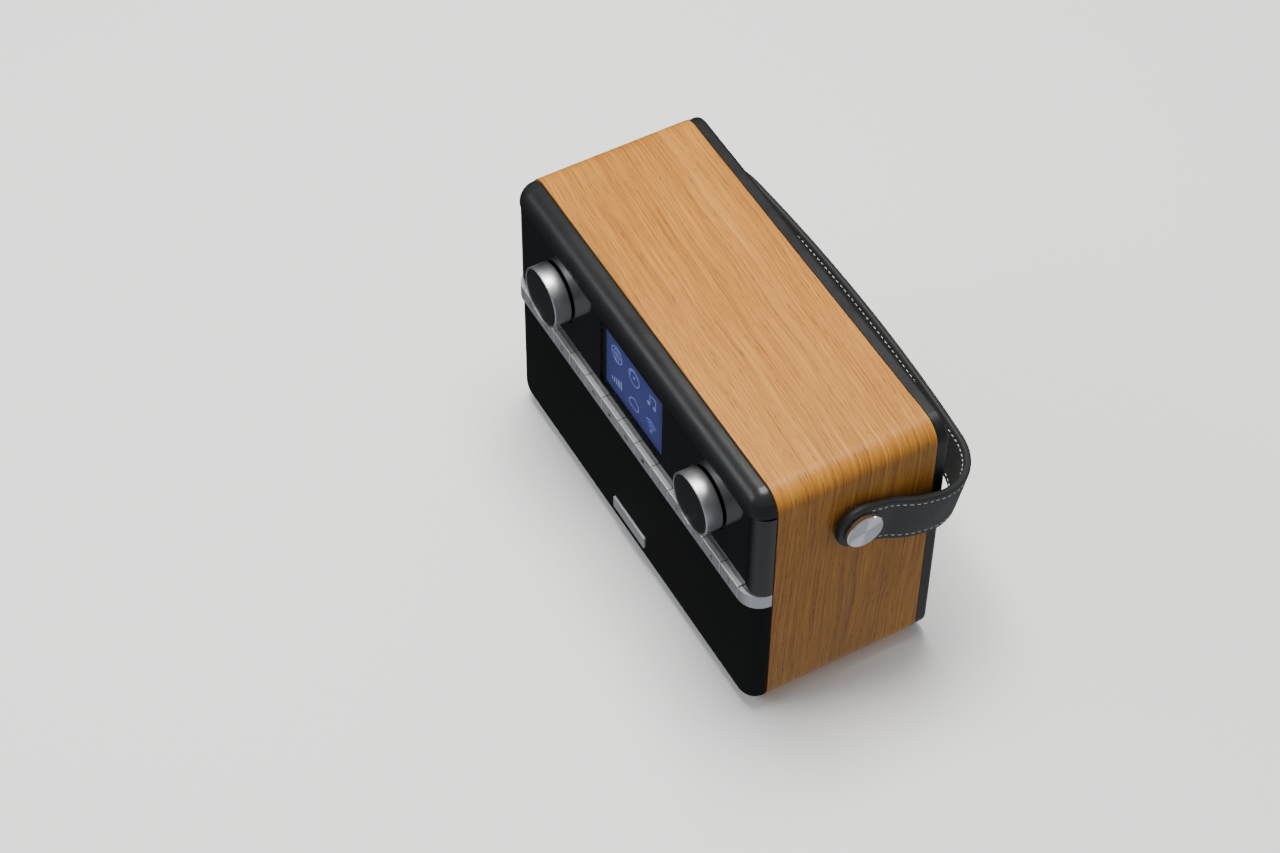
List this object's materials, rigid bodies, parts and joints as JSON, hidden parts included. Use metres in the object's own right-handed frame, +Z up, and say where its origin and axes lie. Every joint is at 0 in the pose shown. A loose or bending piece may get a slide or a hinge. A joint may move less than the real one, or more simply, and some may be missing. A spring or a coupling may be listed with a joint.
{
  "type": "tabletop radio",
  "caption": "Portable tabletop radio in a wooden sleeve with a leather carrying handle, round control knobs, a row of push keys, a colour display and a cloth grille.",
  "frame": {"origin": "on the table, at the middle of the radio's overall width and depth", "axes": "+Z up, the front with its knobs and display faces -Y, +X is to the right seen from the front"},
  "size_m": [0.2548, 0.1428, 0.1615],
  "materials": {
    "chrome_plate": "bright plated",
    "black_abs": "fine-textured black ABS",
    "turned_aluminium": "fine-turned satin",
    "pack_wrap": "shrink-wrapped battery pack",
    "oak_veneer": "satin lacquered golden oak veneer with the grain wrapped round the box",
    "piano_black": "high-gloss black",
    "satin_silver": "satin silver metallic paint",
    "window_glass": "clear acrylic lens",
    "paper_cone": "pressed paper",
    "steel": "zinc plated",
    "ferrite": "sintered ferrite",
    "rubber_black": "moulded",
    "soft_touch": "soft-touch charcoal",
    "black_leather": "smooth black leather with pale edge stitching",
    "blue_screen": "lit blue liquid-crystal display",
    "board_green": "solder-masked circuit board",
    "grille_cloth": "tightly woven black acoustic cloth",
    "spun_aluminium": "spun and lacquered"
  },
  "bodies": {
    "cabinet": {"aerial_mount": "black_abs", "audio_sockets": "black_abs", "badge_plate": "turned_aluminium", "battery_pack": "pack_wrap", "cabinet_sleeve": "oak_veneer", "control_panel": "piano_black", "corner_trim_left": "satin_silver", "corner_trim_right": "satin_silver", "dc_socket": "black_abs", "display_window": "window_glass", "driver_cones": "paper_cone", "driver_frames": "steel", "driver_magnets": "ferrite", "encoders": "steel", "feet": "rubber_black", "front_baffle": "black_abs", "front_hood": "soft_touch", "grille_frame": "black_abs", "key_guide": "black_abs", "key_switches": "black_abs", "lcd_frame": "steel", "lcd_screen": "blue_screen", "main_board": "board_green", "network_module": "steel", "rear_cover": "black_abs", "screws": "steel", "speaker_grille": "grille_cloth", "stud_cap_left": "spun_aluminium", "stud_cap_right": "spun_aluminium", "stud_nuts": "steel", "stud_spacers": "chrome_plate", "studs": "chrome_plate"},
    "volume_dial": {"volume_knob": "turned_aluminium", "volume_knob_face": "black_abs", "volume_spindle": "steel"},
    "tuning_push": {"tuning_spindle": "steel"},
    "tuning_dial": {"tuning_knob": "turned_aluminium", "tuning_knob_face": "black_abs"},
    "handle": {"handle_strap": "black_leather", "strap_eyelets": "chrome_plate"},
    "door": {"battery_door": "black_abs"},
    "aerial_swivel": {"aerial_base": "chrome_plate"},
    "aerial_stage_1": {"aerial_tube_1": "chrome_plate"},
    "aerial_stage_2": {"aerial_tube_2": "chrome_plate"},
    "aerial_stage_3": {"aerial_tube_3": "chrome_plate"},
    "aerial_stage_4": {"aerial_tube_4": "chrome_plate"},
    "key_01": {"key_01": "satin_silver"},
    "key_02": {"key_02": "satin_silver"},
    "key_03": {"key_03": "satin_silver"},
    "key_04": {"key_04": "satin_silver"},
    "key_05": {"key_05": "satin_silver"},
    "key_06": {"key_06": "satin_silver"},
    "key_07": {"key_07": "satin_silver"},
    "key_08": {"key_08": "satin_silver"},
    "key_09": {"key_09": "satin_silver"},
    "key_10": {"key_10": "satin_silver"},
    "key_11": {"key_11": "satin_silver"},
    "key_12": {"key_12": "satin_silver"},
    "key_13": {"key_13": "satin_silver"}
  },
  "joints": [
    {"name": "key_01_press", "type": "slide", "parent": "cabinet", "child": "key_01", "axis": [0, 1, 0], "range_m": [0, 0.0012], "stiffness_N_per_m": 900, "springref_m": -0.0004},
    {"name": "key_02_press", "type": "slide", "parent": "cabinet", "child": "key_02", "axis": [0, 1, 0], "range_m": [0, 0.0012], "stiffness_N_per_m": 900, "springref_m": -0.0004},
    {"name": "key_03_press", "type": "slide", "parent": "cabinet", "child": "key_03", "axis": [0, 1, 0], "range_m": [0, 0.0012], "stiffness_N_per_m": 900, "springref_m": -0.0004},
    {"name": "key_04_press", "type": "slide", "parent": "cabinet", "child": "key_04", "axis": [0, 1, 0], "range_m": [0, 0.0012], "stiffness_N_per_m": 900, "springref_m": -0.0004},
    {"name": "key_05_press", "type": "slide", "parent": "cabinet", "child": "key_05", "axis": [0, 1, 0], "range_m": [0, 0.0012], "stiffness_N_per_m": 900, "springref_m": -0.0004},
    {"name": "key_06_press", "type": "slide", "parent": "cabinet", "child": "key_06", "axis": [0, 1, 0], "range_m": [0, 0.0012], "stiffness_N_per_m": 900, "springref_m": -0.0004},
    {"name": "key_07_press", "type": "slide", "parent": "cabinet", "child": "key_07", "axis": [0, 1, 0], "range_m": [0, 0.0012], "stiffness_N_per_m": 900, "springref_m": -0.0004},
    {"name": "key_08_press", "type": "slide", "parent": "cabinet", "child": "key_08", "axis": [0, 1, 0], "range_m": [0, 0.0012], "stiffness_N_per_m": 900, "springref_m": -0.0004},
    {"name": "key_09_press", "type": "slide", "parent": "cabinet", "child": "key_09", "axis": [0, 1, 0], "range_m": [0, 0.0012], "stiffness_N_per_m": 900, "springref_m": -0.0004},
    {"name": "key_10_press", "type": "slide", "parent": "cabinet", "child": "key_10", "axis": [0, 1, 0], "range_m": [0, 0.0012], "stiffness_N_per_m": 900, "springref_m": -0.0004},
    {"name": "key_11_press", "type": "slide", "parent": "cabinet", "child": "key_11", "axis": [0, 1, 0], "range_m": [0, 0.0012], "stiffness_N_per_m": 900, "springref_m": -0.0004},
    {"name": "key_12_press", "type": "slide", "parent": "cabinet", "child": "key_12", "axis": [0, 1, 0], "range_m": [0, 0.0012], "stiffness_N_per_m": 900, "springref_m": -0.0004},
    {"name": "key_13_press", "type": "slide", "parent": "cabinet", "child": "key_13", "axis": [0, 1, 0], "range_m": [0, 0.0012], "stiffness_N_per_m": 900, "springref_m": -0.0004},
    {"name": "volume_turn", "type": "hinge", "parent": "cabinet", "child": "volume_dial", "pos_m": [-0.0734, -0.05095, 0.1223], "axis": [0, -1, 0], "continuous": true},
    {"name": "tuning_press", "type": "slide", "parent": "cabinet", "child": "tuning_push", "axis": [0, 1, 0], "range_m": [0, 0.0006], "stiffness_N_per_m": 3000, "springref_m": -0.0003},
    {"name": "tuning_turn", "type": "hinge", "parent": "tuning_push", "child": "tuning_dial", "pos_m": [0.0734, -0.05095, 0.1223], "axis": [0, -1, 0], "continuous": true},
    {"name": "handle_lift", "type": "hinge", "parent": "cabinet", "child": "handle", "pos_m": [0, -0.00845, 0.1225], "axis": [1, 0, 0], "range_deg": [-5, 105]},
    {"name": "door_open", "type": "hinge", "parent": "cabinet", "child": "door", "pos_m": [-0.03, 0.04025, 0.0183], "axis": [-1, 0, 0], "range_deg": [0, 85]},
    {"name": "aerial_turn", "type": "hinge", "parent": "cabinet", "child": "aerial_swivel", "pos_m": [-0.088, 0.04505, 0.14], "axis": [0, -1, 0], "range_deg": [0, 180]},
    {"name": "aerial_tilt", "type": "hinge", "parent": "aerial_swivel", "child": "aerial_stage_1", "pos_m": [-0.088, 0.04505, 0.14], "axis": [0, 0, 1], "range_deg": [0, 90]},
    {"name": "aerial_pull_2", "type": "slide", "parent": "aerial_stage_1", "child": "aerial_stage_2", "axis": [1, 0, 0], "range_m": [0, 0.125]},
    {"name": "aerial_pull_3", "type": "slide", "parent": "aerial_stage_2", "child": "aerial_stage_3", "axis": [1, 0, 0], "range_m": [0, 0.125]},
    {"name": "aerial_pull_4", "type": "slide", "parent": "aerial_stage_3", "child": "aerial_stage_4", "axis": [1, 0, 0], "range_m": [0, 0.125]}
  ]
}
